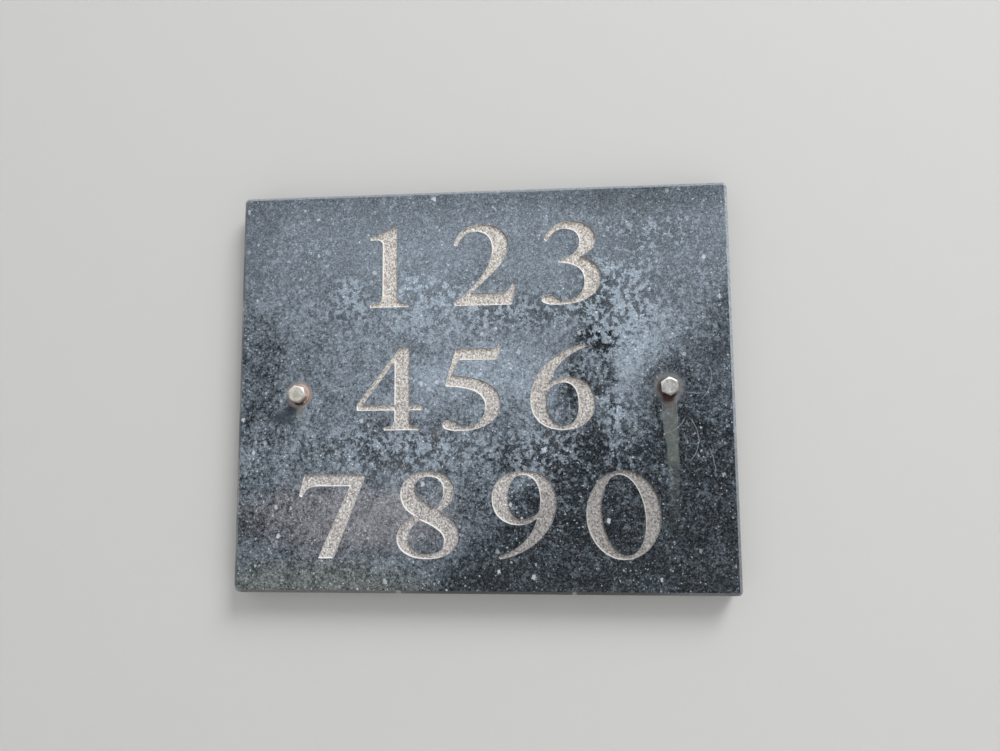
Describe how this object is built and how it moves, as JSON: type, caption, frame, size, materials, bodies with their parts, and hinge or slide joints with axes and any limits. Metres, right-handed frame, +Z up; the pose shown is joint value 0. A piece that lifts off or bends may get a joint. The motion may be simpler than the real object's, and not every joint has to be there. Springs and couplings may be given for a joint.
{
  "type": "stone wall plaque",
  "caption": "Rectangular polished stone plaque with a bevelled front, held flat against a wall by hexagon-head sleeve anchors through drilled holes.",
  "frame": {"origin": "middle of the flat back face of the stone, on the plane of the wall", "axes": "+Z up, +X to the right as seen from the front, +Y into the wall, the polished front faces -Y"},
  "size_m": [0.365, 0.0753, 0.297],
  "materials": {
    "polished_stone": "polished dark grey with fine pale speckle",
    "bolt_zinc": "dull zinc plate with rust spots",
    "rusty_steel": "rusted",
    "sleeve_zinc": "zinc plate",
    "ring_plastic": "moulded",
    "nut_zinc": "zinc plate"
  },
  "bodies": {
    "root": {"stone_slab": "polished_stone", "left_bolt": "bolt_zinc", "left_washer": "rusty_steel", "left_spacer_sleeve": "sleeve_zinc", "left_crush_ring": "ring_plastic", "left_expansion_sleeve": "sleeve_zinc", "left_cone_nut": "nut_zinc", "right_bolt": "bolt_zinc", "right_washer": "rusty_steel", "right_spacer_sleeve": "sleeve_zinc", "right_crush_ring": "ring_plastic", "right_expansion_sleeve": "sleeve_zinc", "right_cone_nut": "nut_zinc"}
  },
  "joints": []
}
